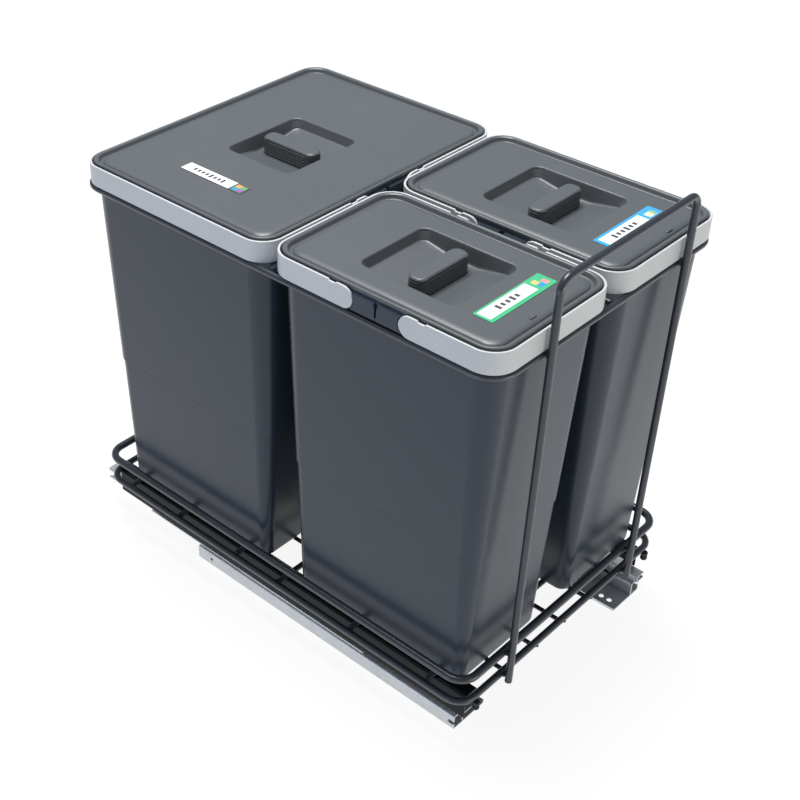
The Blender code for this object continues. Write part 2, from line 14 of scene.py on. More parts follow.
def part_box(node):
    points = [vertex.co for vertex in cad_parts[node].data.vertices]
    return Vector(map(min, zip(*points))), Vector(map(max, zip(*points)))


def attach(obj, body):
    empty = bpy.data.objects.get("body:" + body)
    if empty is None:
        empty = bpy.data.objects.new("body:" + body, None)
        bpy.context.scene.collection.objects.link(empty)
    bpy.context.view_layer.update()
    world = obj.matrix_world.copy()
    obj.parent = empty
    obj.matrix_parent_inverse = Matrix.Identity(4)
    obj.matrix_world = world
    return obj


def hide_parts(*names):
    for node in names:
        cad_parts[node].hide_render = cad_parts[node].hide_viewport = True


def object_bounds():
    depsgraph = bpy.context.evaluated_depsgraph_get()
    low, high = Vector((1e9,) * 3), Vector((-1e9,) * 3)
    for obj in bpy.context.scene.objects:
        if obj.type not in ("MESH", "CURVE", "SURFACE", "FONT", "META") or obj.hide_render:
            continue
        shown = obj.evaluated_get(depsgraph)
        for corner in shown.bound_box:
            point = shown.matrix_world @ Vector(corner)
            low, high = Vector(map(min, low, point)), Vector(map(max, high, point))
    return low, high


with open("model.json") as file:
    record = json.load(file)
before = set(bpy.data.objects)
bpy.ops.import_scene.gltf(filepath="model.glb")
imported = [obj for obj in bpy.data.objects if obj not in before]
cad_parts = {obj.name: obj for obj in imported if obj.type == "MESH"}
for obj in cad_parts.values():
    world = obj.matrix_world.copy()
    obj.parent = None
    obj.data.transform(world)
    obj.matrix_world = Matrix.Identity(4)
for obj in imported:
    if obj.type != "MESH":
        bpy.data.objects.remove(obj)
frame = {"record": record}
CAD_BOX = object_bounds()
BODY_OF = {node: body for body, nodes in frame["record"]["behaviour"]["bodies"].items() for node in nodes}

# ---- driving sizes ---------------------------------------------------------------------------------
HANDLE_CORNER = 0.0240              # plan radius of the handles' outer face
HANDLE_SHEET = 0.0022
HANDLE_EDGE = 0.0006
PIVOT_OFFSET = 0.0345               # from the middle of a long side to each pivot
PIN_RADIUS = 0.0040
NOTCH_OFFSET = 0.0120               # from the pivot to the notch in the handle's top edge
NOTCH_REACH = 0.0045
COLLAR_INSET = 0.0030               # insets are measured from the handles' outer face
WALL_INSET = 0.0062
LID_INSET = 0.0039
WALL = 0.0020
INSIDE_TIGHTER = 0.0016             # the inner corners of a bin are this much tighter than the outer
DRAFT = 0.0140                      # lean of each wall from shoulder to floor
SHOULDER_Z = 0.4160
PARTING_Z = 0.2140
PARTING_STEP = 0.0008
FOOT_CORNER = 0.0100
BEAD_Z = 0.4377
BEAD_RADIUS = 0.0016
GROOVE_Z = 0.4330                   # valley between the lid's bead and its panel
LID_SHEET = 0.0016
POCKET_LIP = 0.0018
POCKET_DRAFT = 0.0026
POCKET_FILLET = 0.0030
POCKET_FLOOR_Z = 0.4200             # beside the grip
POCKET_END_Z = 0.4262               # at the two ends
FLOOR_STATIONS = (-0.0300, -0.0200, -0.0120, 0.0120, 0.0200, 0.0300)
STUDS = {"left": (-0.0950, -0.2340), "right": (0.0995, -0.2360)}
GRIP_RIBS = 5
WIRE_TRIM = 0.0045                  # the long floor wires stop short of the outside of the lower loop
HOOP_RADIUS = 0.0035
HOOP_CORNER = 0.0120
POCKETS = {"rear": (0.0965, 0.0810), "left": (0.0850, 0.1010), "right": (0.0850, 0.1010)}
LONG_AXIS = {"rear": "X", "left": "Y", "right": "Y"}
HALVES = {"X": (("left", -1.0), ("right", 1.0)), "Y": (("front", -1.0), ("back", 1.0))}


# ---- node materials --------------------------------------------------------------------------------
class Value:
    """A shader socket that takes part in sums and products."""

    def __init__(self, finish, socket):
        self.finish = finish
        self.socket = socket

    def math(self, operation, *operands):
        return self.finish.node("ShaderNodeMath", {"operation": operation}, dict(enumerate(operands)))

    def __add__(self, other):
        return self.math("ADD", self, other)

    __radd__ = __add__

    def __sub__(self, other):
        return self.math("SUBTRACT", self, other)

    def __rsub__(self, other):
        return self.math("SUBTRACT", other, self)

    def __mul__(self, other):
        return self.math("MULTIPLY", self, other)

    __rmul__ = __mul__

    def size(self):
        return self.math("ABSOLUTE", self)

    def soft_step(self, low, high):
        """0 below low, 1 above high and a smooth rise between."""
        sockets = {"Value": self, "From Min": low, "From Max": high}
        return self.finish.node("ShaderNodeMapRange", {"interpolation_type": "SMOOTHSTEP"}, sockets)


class Finish:
    """A node material whose sockets are written as expressions."""

    def __init__(self, name):
        self.material = bpy.data.materials.new(name)
        self.material.use_nodes = True
        self.tree = self.material.node_tree
        self.shader = self.tree.nodes["Principled BSDF"]
        self.place = self.node("ShaderNodeTexCoord", output="Object")

    def node(self, kind, settings=None, sockets=None, output=0):
        made = self.tree.nodes.new(kind)
        for name, value in (settings or {}).items():
            setattr(made, name, value)
        for name, value in (sockets or {}).items():
            self.feed(made.inputs[name], value)
        return Value(self, made.outputs[output])

    def feed(self, socket, value):
        if isinstance(value, Value):
            self.tree.links.new(value.socket, socket)
        else:
            socket.default_value = value

    def axis(self, letter):
        """One coordinate of the place on the object at rest."""
        return self.node("ShaderNodeSeparateXYZ", None, {"Vector": self.place}, output="XYZ".index(letter))

    def stretched(self, scale):
        sockets = {"Vector": self.place, "Scale": scale}
        return self.node("ShaderNodeMapping", {"vector_type": "POINT"}, sockets)

    def noise(self, scale, detail=2.0, roughness=0.5, vector=None):
        sockets = {"Vector": vector or self.place, "Scale": scale, "Detail": detail, "Roughness": roughness}
        return self.node("ShaderNodeTexNoise", None, sockets)

    def cells(self, scale, output="Color"):
        sockets = {"Vector": self.place, "Scale": scale}
        return self.node("ShaderNodeTexVoronoi", None, sockets, output=output)

    def mix(self, factor, first, second):
        sockets = {"Factor": factor, 6: first, 7: second}
        return self.node("ShaderNodeMix", {"data_type": "RGBA"}, sockets, output=2)

    def bump(self, height, distance, strength=1.0):
        sockets = {"Height": height, "Distance": distance, "Strength": strength}
        self.feed(self.shader.inputs["Normal"], self.node("ShaderNodeBump", None, sockets))

    def set(self, **values):
        for name, value in values.items():
            self.feed(self.shader.inputs[name.replace("_", " ").title().replace("Ior", "IOR")], value)


def tone(colour, factor):
    """The colour made lighter or darker, with full alpha."""
    return (*(min(1.0, channel * factor) for channel in colour), 1.0)


def scuffs(finish, along, across, amount):
    """Fine hairlines that run along one direction and come and go in patches."""
    hair = finish.noise(1.0, 3.0, 0.6, finish.stretched((across, along, across)))
    patch = finish.noise(14.0, 2.0).soft_step(0.50, 0.68)
    return hair.soft_step(0.60, 0.68) * patch * amount


def moulded_plastic(name, colour, roughness=0.40, grain=0.00006, shine=0.5):
    """Fine spark-eroded grain, slow colour drift and a few handling scuffs."""
    finish = Finish(name)
    drift = finish.noise(7.0, 3.0)
    flow = finish.noise(1.0, 2.0, 0.5, finish.stretched((55.0, 55.0, 5.0)))
    marks = scuffs(finish, 22.0, 700.0, 0.5) + scuffs(finish, 900.0, 30.0, 0.35)
    speckle = finish.noise(1900.0, 2.0)
    base = finish.mix(drift * 0.7 + flow * 0.3, tone(colour, 0.90), tone(colour, 1.10))
    base = finish.mix(speckle.soft_step(0.55, 0.75) * 0.20, base, tone(colour, 1.30))
    base = finish.mix(marks * 0.16, base, tone(colour, 1.6))
    finish.set(base_color=base, roughness=roughness + drift * 0.06 + marks * 0.05 - 0.03,
               specular_ior_level=shine)
    finish.bump(speckle, grain, 0.5)
    return finish.material


def powder_coat(name, colour, shine=0.5):
    """Satin powder coat with orange peel and small bright knocks."""
    finish = Finish(name)
    peel = finish.noise(420.0, 2.0)
    drift = finish.noise(18.0, 3.0)
    knock = finish.cells(95.0, "Distance").soft_step(0.10, 0.04) * finish.noise(9.0).soft_step(0.60, 0.70)
    base = finish.mix(drift, tone(colour, 0.86), tone(colour, 1.14))
    base = finish.mix(knock * 0.5, base, tone(colour, 2.6))
    finish.set(base_color=base, roughness=0.30 + drift * 0.10, coat_weight=0.5 * shine,
               specular_ior_level=shine)
    finish.bump(peel, 0.00008, 0.35)
    return finish.material


def zinc_plate(name):
    """Zinc plated sheet: rolled streaks along the runner, faint flowers and dull patches."""
    finish = Finish(name)
    streak = finish.noise(1.0, 3.0, 0.6, finish.stretched((1500.0, 12.0, 1500.0)))
    flower = finish.cells(240.0, "Color")
    cloud = finish.noise(26.0, 4.0)
    mask = flower * 0.25 + streak * 0.35 + cloud * 0.40
    base = finish.mix(mask, (0.42, 0.44, 0.46, 1.0), (0.70, 0.72, 0.74, 1.0))
    finish.set(base_color=base, metallic=0.80, roughness=0.34 + cloud * 0.16 - streak * 0.06)
    finish.bump(streak, 0.00003, 0.4)
    return finish.material


def rubber(name):
    """Matt black rubber with a coarse grain."""
    finish = Finish(name)
    grain = finish.noise(900.0, 3.0)
    base = finish.mix(grain, (0.008, 0.008, 0.009, 1.0), (0.022, 0.022, 0.023, 1.0))
    finish.set(base_color=base, roughness=0.62 + grain * 0.16)
    finish.bump(grain, 0.00008, 0.5)
    return finish.material


def inside(finish, centre, half_x, half_y, edge=0.0001):
    """1 inside a level rectangle round centre, 0 outside, with a thin soft edge."""
    dx = (finish.axis("X") - centre[0]).size()
    dy = (finish.axis("Y") - centre[1]).size()
    return dx.soft_step(half_x + edge, half_x - edge) * dy.soft_step(half_y + edge, half_y - edge)


# ---- mesh helpers ----------------------------------------------------------------------------------
def make_piece(name, bm, material, node=None, body=None, angle=35.0):
    """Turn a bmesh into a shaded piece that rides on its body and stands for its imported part."""
    bmesh.ops.recalc_face_normals(bm, faces=bm.faces[:])
    mesh = bpy.data.meshes.new(name)
    bm.to_mesh(mesh)
    bm.free()
    mesh.materials.append(material)
    mesh.shade_smooth()
    mesh.set_sharp_from_angle(angle=math.radians(angle))
    piece = bpy.data.objects.new(name, mesh)
    bpy.context.scene.collection.objects.link(piece)
    even = piece.modifiers.new("Even shading", "WEIGHTED_NORMAL")
    even.keep_sharp = True
    even.weight = 80
    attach(piece, body or BODY_OF[node])
    if node:
        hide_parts(node)
    return piece


def arc(centre, radius, start, stop, steps):
    """Points of a circular arc in a plane, angles in degrees."""
    for step in range(steps + 1):
        angle = math.radians(start + (stop - start) * step / steps)
        yield centre[0] + radius * math.cos(angle), centre[1] + radius * math.sin(angle)


def rectangle_ring(span, corner, z, steps=10):
    """Level ring round a rectangle with round corners; every ring has the same number of points."""
    x0, x1, y0, y1 = span
    ring = []
    corners = ((x1, y1, 0.0), (x0, y1, 90.0), (x0, y0, 180.0), (x1, y0, 270.0))
    for x, y, start in corners:
        cx = x - math.copysign(corner, x - 0.5 * (x0 + x1))
        cy = y - math.copysign(corner, y - 0.5 * (y0 + y1))
        ring.extend((px, py, z) for px, py in arc((cx, cy), corner, start, start + 90.0, steps))
    return ring


def grown(span, amount):
    return span[0] - amount, span[1] + amount, span[2] - amount, span[3] + amount


def loft(rings, bm=None, cap_first=False, cap_last=False):
    """Skin over a row of rings that all have the same number of points."""
    bm = bm or bmesh.new()
    rows = [[bm.verts.new(point) for point in ring] for ring in rings]
    count = len(rows[0])
    for lower, upper in zip(rows, rows[1:]):
        for index in range(count):
            after = (index + 1) % count
            bm.faces.new((lower[index], lower[after], upper[after], upper[index]))
    if cap_first:
        bm.faces.new(list(reversed(rows[0])))
    if cap_last:
        bm.faces.new(rows[-1])
    return bm


def merge(bm, other):
    mesh = bpy.data.meshes.new("merged")
    other.to_mesh(mesh)
    other.free()
    bm.from_mesh(mesh)
    bpy.data.meshes.remove(mesh)
    return bm


def box_of(*nodes):
    """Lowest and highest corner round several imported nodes."""
    boxes = [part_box(node) for node in nodes]
    low = Vector(min(box[0][i] for box in boxes) for i in range(3))
    high = Vector(max(box[1][i] for box in boxes) for i in range(3))
    return low, high


# ---- bins ------------------------------------------------------------------------------------------
def bin_outline(name):
    """Outer face of the handles round one bin."""
    sides = [f"handle_{name}_{half[0]}" for half in HALVES[LONG_AXIS[name]]]
    low, high = box_of(*sides)
    return low.x, high.x, low.y, high.y


def middle(span):
    return 0.5 * (span[0] + span[1]), 0.5 * (span[2] + span[3])


def along(name, span, distance, across):
    """Point at a distance from the bin's middle along its long axis, and across it."""
    x, y = middle(span)
    return (x + distance, y + across) if LONG_AXIS[name] == "X" else (x + across, y + distance)


def half_sizes(name, span):
    """Half the long side and half the short side."""
    wide, deep = 0.5 * (span[1] - span[0]), 0.5 * (span[3] - span[2])
    return (wide, deep) if LONG_AXIS[name] == "X" else (deep, wide)


def wall_inset(z):
    """How far the bin's outer wall lies inside the handles at height z."""
    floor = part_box("bin_body_rear")[0].z
    lean = DRAFT * (SHOULDER_Z - z) / (SHOULDER_Z - floor)
    return WALL_INSET + lean + (PARTING_STEP if z < PARTING_Z else 0.0)


def wall_corner(z):
    """Radius of the upright corners, tight at the floor and wide under the shoulder."""
    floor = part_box("bin_body_rear")[0].z
    wide = HANDLE_CORNER - WALL_INSET + 0.004
    return wide + (FOOT_CORNER - wide) * (SHOULDER_Z - z) / (SHOULDER_Z - floor)


def bin_levels(floor, top):
    """Inset from the handles, height and corner radius of each ring up the outside of a bin."""
    foot = wall_inset(floor)
    corner = wall_corner(SHOULDER_Z)
    levels = []
    for inset, rise in ((0.0050, 0.0), (0.0036, 0.0002), (0.0022, 0.0008), (0.0010, 0.0020),
                        (0.0003, 0.0036)):
        levels.append((foot + inset, floor + rise, FOOT_CORNER - 0.6 * inset))
    for z in (floor + 0.0060, floor + 0.030, 0.5 * (floor + PARTING_Z), PARTING_Z - PARTING_STEP):
        levels.append((wall_inset(z), z, wall_corner(z)))
    levels.append((wall_inset(PARTING_Z) + 0.0014, PARTING_Z - 0.0001, wall_corner(PARTING_Z)))
    for z in (PARTING_Z + 0.0003, 0.5 * (SHOULDER_Z + PARTING_Z), SHOULDER_Z - 0.0018):
        levels.append((wall_inset(z), z, wall_corner(z)))
    levels.append((WALL_INSET - 0.0006, SHOULDER_Z - 0.0006, corner))
    levels.append((COLLAR_INSET + 0.0008, SHOULDER_Z, corner))
    levels.append((COLLAR_INSET, SHOULDER_Z + 0.0009, corner))
    levels.append((COLLAR_INSET, top - 0.0006, corner))
    levels.append((COLLAR_INSET + 0.0004, top, corner))
    return levels


def bin_shell(span, floor, top):
    """Outside, rolled lip and inside of one bin as a single closed skin."""
    outside = bin_levels(floor, top)
    inside_levels = [(COLLAR_INSET + WALL - 0.0004, top, outside[-1][2] - INSIDE_TIGHTER)]
    for inset, z, corner in reversed(outside[5:-1]):
        inner_corner = max(corner - INSIDE_TIGHTER, 0.004)
        inside_levels.append((inset + WALL, min(z + 0.0004, top - 0.0005), inner_corner))
    inside_levels.append((outside[2][0] + WALL, floor + WALL + 0.0012, outside[2][2]))
    inside_levels.append((outside[0][0] + WALL, floor + WALL, outside[0][2]))
    rings = [rectangle_ring(grown(span, -inset), corner, z) for inset, z, corner in outside + inside_levels]
    return loft(rings, cap_first=True, cap_last=True)


def filler_pads(name, span, low, high):
    """Four pads that fill the gaps between the handle tips, with a slit in the middle."""
    half_short = half_sizes(name, span)[1]
    handle_low, handle_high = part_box(f"handle_{name}_{HALVES[LONG_AXIS[name]][0][0]}")
    radius = 0.5 * (handle_high.z - handle_low.z) + 0.0008
    pivot_z = 0.5 * (handle_high.z + handle_low.z)
    bm = bmesh.new()
    for side in (-1.0, 1.0):
        for end in (-1.0, 1.0):
            outline = [(0.0001, low), (0.0001, low + 0.0035), (0.0008, low + 0.0045), (0.0010, high - 0.004),
                       (0.0024, high)]
            for step in range(9):
                z = high + (low - high) * step / 8
                reach = math.sqrt(max(radius ** 2 - (z - pivot_z) ** 2, 0.0))
                outline.append((PIVOT_OFFSET - reach, z))
            rings = []
            for depth, shrink in ((-0.0010, 0.0), (COLLAR_INSET - 0.0008, 0.0),
                                  (COLLAR_INSET - 0.0003, 0.0004)):
                face = side * (half_short - COLLAR_INSET + depth)
                ring = []
                for u, z in outline:
                    u_in = u + (shrink if u < 0.003 else -shrink)
                    z_in = min(max(z, low + shrink), high - shrink)
                    x, y = along(name, span, end * u_in, face)
                    ring.append((x, y, z_in))
                rings.append(ring)
            loft(rings, bm, cap_first=True, cap_last=True)
    return bm


def pivot_pins(name, span, z):
    """Low round bosses that the handle halves turn on."""
    half_short = half_sizes(name, span)[1]
    bm = bmesh.new()
    for side in (-1.0, 1.0):
        for end in (-1.0, 1.0):
            rings = []
            for depth, radius in ((-0.0008, PIN_RADIUS), (0.0012, PIN_RADIUS),
                                  (0.0016, PIN_RADIUS - 0.0004)):
                face = side * (half_short - COLLAR_INSET + depth)
                ring = []
                for du, dz in arc((0.0, 0.0), radius, 0.0, 345.0, 23):
                    x, y = along(name, span, end * PIVOT_OFFSET + du, face)
                    ring.append((x, y, z + dz))
                rings.append(ring)
            loft(rings, bm, cap_first=True, cap_last=True)
    return bm


def make_bin(name, material):
    """Shell, filler pads and pivot pins of one bin."""
    node = "bin_body_" + name
    span = bin_outline(name)
    low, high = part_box(node)
    handle_low, handle_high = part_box(f"handle_{name}_{HALVES[LONG_AXIS[name]][0][0]}")
    bm = bin_shell(span, low.z, high.z)
    merge(bm, filler_pads(name, span, SHOULDER_Z + 0.0008, high.z - 0.0008))
    merge(bm, pivot_pins(name, span, 0.5 * (handle_low.z + handle_high.z)))
    return make_piece("sorting_bin_" + name, bm, material, node)


# ---- lids ------------------------------------------------------------------------------------------
def lid_profile(low, panel):
    """Inset from the lid's edge and height: skirt, rolled bead, valley and the panel's soft shoulder."""
    crown = BEAD_Z - BEAD_RADIUS
    profile = [(0.0, low), (0.0, crown - 0.0010)]
    profile += [(BEAD_RADIUS - x, z) for x, z in arc((0.0, crown), BEAD_RADIUS, 0.0, 80.0, 6)]
    profile += [(0.0024, BEAD_Z - 0.0001), (0.0033, BEAD_Z - 0.0004), (0.0041, BEAD_Z - 0.0010)]
    profile += [(0.0046, GROOVE_Z + 0.0022), (0.0051, GROOVE_Z + 0.0009), (0.0057, GROOVE_Z + 0.0002)]
    profile += [(0.0064, GROOVE_Z), (0.0074, GROOVE_Z)]
    rise = panel - GROOVE_Z
    for step in range(9):
        turn = 0.5 * math.pi * step / 8
        profile.append((0.0079 + 0.0070 * (1.0 - math.cos(turn)), GROOVE_Z + rise * math.sin(turn)))
    return profile


def pocket_point(name, centre, point, mouth_z):
    """Sink a point of the pocket's floor: deepest beside the grip, rising to the two ends."""
    x, y, z = point
    spread = abs(x - centre[0]) if LONG_AXIS[name] == "X" else abs(y - centre[1])
    half = 0.5 * (POCKETS[name][0] if LONG_AXIS[name] == "X" else POCKETS[name][1])
    ramp = min(1.0, max(0.0, (spread - 0.012) / (half - 0.017)))
    depth = (mouth_z - POCKET_FLOOR_Z) + (POCKET_FLOOR_Z - POCKET_END_Z) * ramp
    share = (mouth_z - z) / (mouth_z - POCKET_FLOOR_Z)
    return x, y, mouth_z - depth * share


def with_stations(name, centre, ring):
    """Split the ring's two long sides where the pocket's floor changes slope."""
    axis = "XY".index(LONG_AXIS[name])
    result = []
    for index, point in enumerate(ring):
        result.append(point)
        after = ring[(index + 1) % len(ring)]
        step = after[axis] - point[axis]
        if abs(step) < 0.02 or abs(after[1 - axis] - point[1 - axis]) > 0.001:
            continue
        for offset in FLOOR_STATIONS:
            place = list(point)
            place[axis] = centre[axis] + math.copysign(1.0, step) * offset
            result.append(tuple(place))
    return result


def pocket_rings(name, centre, mouth, panel):
    """Rings from the panel over the soft mouth and down the drafted walls to the floor's fillet."""
    rings = []
    for step in range(6):
        turn = 0.5 * math.pi * step / 5
        ring = rectangle_ring(grown(mouth, POCKET_LIP * (1.0 - math.sin(turn))), 0.0100 - 0.002 * step / 5,
                              panel - POCKET_LIP * (1.0 - math.cos(turn)))
        rings.append(with_stations(name, centre, ring))
    for step in range(7):
        turn = 0.5 * math.pi * step / 6
        inset = POCKET_DRAFT + POCKET_FILLET * (1.0 - math.cos(turn))
        ring = rectangle_ring(grown(mouth, -inset), 0.0078 - 0.0030 * step / 6,
                              POCKET_FLOOR_Z + POCKET_FILLET * (1.0 - math.sin(turn)))
        ring = with_stations(name, centre, ring)
        rings.append([pocket_point(name, centre, point, panel - POCKET_LIP) for point in ring])
    return rings


def pocket_floor(bm, ring, name, centre, panel):
    """Close the floor with strips that ramp down to the grip from both ends."""
    bottom = bm.faces.new(ring)
    along_x = LONG_AXIS[name] == "X"
    normal = (1.0, 0.0, 0.0) if along_x else (0.0, 1.0, 0.0)
    for offset in FLOOR_STATIONS:
        at = (centre[0] + offset, 0.0, 0.0) if along_x else (0.0, centre[1] + offset, 0.0)
        floor_faces = [face for face in bm.faces if face == bottom or face.tag]
        region = floor_faces + list({edge for face in floor_faces for edge in face.edges})
        region += list({vert for face in floor_faces for vert in face.verts})
        for face in floor_faces:
            face.tag = True
        cut = bmesh.ops.bisect_plane(bm, geom=region, plane_co=at, plane_no=normal)
        for item in cut["geom"]:
            if isinstance(item, bmesh.types.BMFace):
                item.tag = True
    for vert in {vert for face in bm.faces if face.tag for vert in face.verts}:
        vert.co = pocket_point(name, centre, (vert.co.x, vert.co.y, POCKET_FLOOR_Z), panel - POCKET_LIP)


def lid_stud(bm, name):
    """Low stud in the front edge of a narrow bin's lid."""
    x, y = STUDS[name]
    rings = []
    for half, z in ((0.0042, 0.4325), (0.0040, 0.4361), (0.0034, 0.4366)):
        rings.append(rectangle_ring((x - half, x + half, y - 0.4 * half, y + 0.4 * half), 0.0008, z, 3))
    loft(rings, bm, cap_last=True)


def make_lid(name, material):
    """Bead, valley and raised panel, with a drafted finger pocket let into the middle."""
    node = "lid_" + name
    low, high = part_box(node)
    span = (low.x, high.x, low.y, high.y)
    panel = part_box("label_" + name)[0].z - 0.0002
    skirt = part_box("bin_body_" + name)[1].z + 0.0003
    corner = HANDLE_CORNER - LID_INSET
    rings = []
    centre = middle(span)
    for inset, z in lid_profile(skirt, panel):
        ring = rectangle_ring(grown(span, -inset), max(corner - 0.75 * inset, 0.007), z)
        rings.append(with_stations(name, centre, ring))
    half_x, half_y = 0.5 * POCKETS[name][0], 0.5 * POCKETS[name][1]
    mouth = (centre[0] - half_x, centre[0] + half_x, centre[1] - half_y, centre[1] + half_y)
    rings.append(with_stations(name, centre, rectangle_ring(grown(mouth, 0.0045), 0.0120, panel)))
    rings += pocket_rings(name, centre, mouth, panel)
    bm = loft(rings)
    bm.verts.ensure_lookup_table()
    count = len(rings[0])
    pocket_floor(bm, bm.verts[-count:], name, centre, panel)
    if name in STUDS:
        lid_stud(bm, name)
    piece = make_piece("bin_lid_" + name, bm, material, node)
    wall = piece.modifiers.new("Moulded wall", "SOLIDIFY")
    wall.thickness = LID_SHEET
    wall.offset = -1.0
    piece.modifiers.move(len(piece.modifiers) - 1, 0)
    return piece


def make_grip(name, material):
    """Bar in the pocket: round ends, flat top with soft edges and stepped ribs down both long sides."""
    node = "grip_" + name
    low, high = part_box(node)
    cx, cy = 0.5 * (low.x + high.x), 0.5 * (low.y + high.y)
    half_x, half_y = 0.5 * (high.x - low.x), 0.5 * (high.y - low.y)
    soft = 0.0022
    rib_top = high.z - soft - 0.0006
    rib_height = (rib_top - low.z - 0.0012) / GRIP_RIBS
    levels = [(0.0004, low.z), (0.0, low.z + 0.0006)]
    for rib in range(GRIP_RIBS):
        base = low.z + 0.0012 + rib * rib_height
        proud = 0.00020 * rib
        levels += [(proud, base + 0.05 * rib_height), (proud, base + 0.60 * rib_height)]
        levels += [(proud + 0.0006, base + 0.70 * rib_height), (proud + 0.0006, base + 0.96 * rib_height)]
    levels += [(0.0012, rib_top + 0.0002)]
    levels += [(0.0012 + soft - x, z) for x, z in arc((0.0, high.z - soft), soft, 0.0, 90.0, 6)]
    span = (cx - half_x, cx + half_x, cy - half_y, cy + half_y)
    rings = []
    for inset, z in levels:
        smooth = 0.0010 + 0.30 * (inset - 0.0010) if inset < 0.0013 else inset
        ring = []
        for x, y, height in rectangle_ring(span, 0.0078, z):
            dx, dy = x - cx, y - cy
            ring.append((cx + dx * (1.0 - smooth / half_x), cy + dy * (1.0 - smooth / half_y), height))
        rings.append(rib_stations(ring, cx, cy, half_x, half_y, inset, smooth))
    bm = loft(rings, cap_first=True, cap_last=True)
    gate = []
    for radius, rise in ((0.0016, -0.0001), (0.0014, 0.00012), (0.0010, 0.0001), (0.0007, 0.0),
                         (0.0005, 0.00015), (0.0002, 0.0002)):
        gate.append([(x, y, high.z + rise) for x, y in arc((cx, cy), radius, 0.0, 337.5, 15)])
    loft(gate, bm, cap_first=True, cap_last=True)
    return make_piece("lid_grip_" + name, bm, material, node, angle=30.0)


def rib_stations(ring, cx, cy, half_x, half_y, inset, smooth):
    """Split the two long sides so that the ribs start and stop short of the round ends."""
    along_x = half_x > half_y
    reach = (half_x if along_x else half_y) - 0.0098
    result = []
    count = len(ring)
    for index, point in enumerate(ring):
        result.append(point)
        after = ring[(index + 1) % count]
        step = (after[0] - point[0]) if along_x else (after[1] - point[1])
        if abs(step) < 0.02:
            continue
        sign = math.copysign(1.0, step)
        for offset, pull in ((-sign * (reach + 0.0006), smooth), (-sign * reach, inset),
                             (sign * reach, inset), (sign * (reach + 0.0006), smooth)):
            side = math.copysign(1.0, (point[1] - cy) if along_x else (point[0] - cx))
            if along_x:
                result.append((cx + offset, cy + side * (half_y - pull), point[2]))
            else:
                result.append((cx + side * (half_x - pull), cy + offset, point[2]))
    return result


# ---- handles ---------------------------------------------------------------------------------------
def handle_route(half_long, half_short, tip):
    """Stations round one half handle: place and outward direction in the bin's own axes."""
    corner = HANDLE_CORNER
    start = PIVOT_OFFSET - tip
    stations = []
    turns = [math.radians(a) for a in (7, 16, 26, 37, 49, 62, 76, 90)]
    side = [start + tip * (1.0 - math.cos(turn)) for turn in turns]
    side += [PIVOT_OFFSET + d for d in (0.0070, 0.0078, 0.0088, 0.0120, 0.0152, 0.0162, 0.0170)]
    side += [0.5 * (PIVOT_OFFSET + 0.0170 + half_long - corner), half_long - corner]
    for u in side:
        stations.append((u, half_short, 0.0, 1.0))
    for step in range(1, 12):
        turn = math.radians(90.0 * step / 12)
        u = half_long - corner + corner * math.sin(turn)
        v = half_short - corner + corner * math.cos(turn)
        stations.append((u, v, math.sin(turn), math.cos(turn)))
    stations.append((half_long, half_short - corner, 1.0, 0.0))
    mirrored = [(u, -v, nu, -nv) for u, v, nu, nv in reversed(stations)]
    return stations + [(half_long, 0.0, 1.0, 0.0)] + mirrored


def handle_half_height(u, on_side, tip):
    """Half the band's height: round tips, and the full height elsewhere."""
    if not on_side or u >= PIVOT_OFFSET:
        return tip
    return math.sqrt(max(tip ** 2 - (PIVOT_OFFSET - u) ** 2, 1e-9))


def finger_notch(u, on_side):
    """Depth of the shallow notch in the band's top edge beside each pivot."""
    distance = abs(u - PIVOT_OFFSET - NOTCH_OFFSET)
    if not on_side or distance > NOTCH_REACH:
        return 0.0
    return 0.0014 * min(1.0, (NOTCH_REACH - distance) / 0.0012)


def make_handle(name, half, end, material):
    """Half handle: a flat band round one end of a bin, from pivot to pivot."""
    node = f"handle_{name}_{half}"
    low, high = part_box(node)
    span = bin_outline(name)
    half_long, half_short = half_sizes(name, span)
    centre_z = 0.5 * (low.z + high.z)
    rings = []
    tip = 0.5 * (high.z - low.z)
    for u, v, nu, nv in handle_route(half_long, half_short, tip):
        on_side = abs(nu) < 1e-6
        reach = handle_half_height(u, on_side, tip)
        top = reach - finger_notch(u, on_side)
        section = []
        for depth, height in section_of_band(reach, top, min(HANDLE_EDGE, 0.4 * reach)):
            x, y = along(name, span, end * (u - nu * depth), v - nv * depth)
            section.append((x, y, centre_z + height))
        rings.append(section)
    bm = loft(rings, cap_first=True, cap_last=True)
    return make_piece("bin_handle_" + name + "_" + half, bm, material, node)


def section_of_band(reach, top, edge):
    """Depth behind the outer face and height of the points round the band's section."""
    outer, inner = edge, HANDLE_SHEET - edge
    points = []
    for centre, start in (((outer, top - edge), 180.0), ((inner, top - edge), 90.0),
                          ((inner, -reach + edge), 0.0), ((outer, -reach + edge), -90.0)):
        points.extend(arc(centre, edge, start, start - 90.0, 3))
    return points


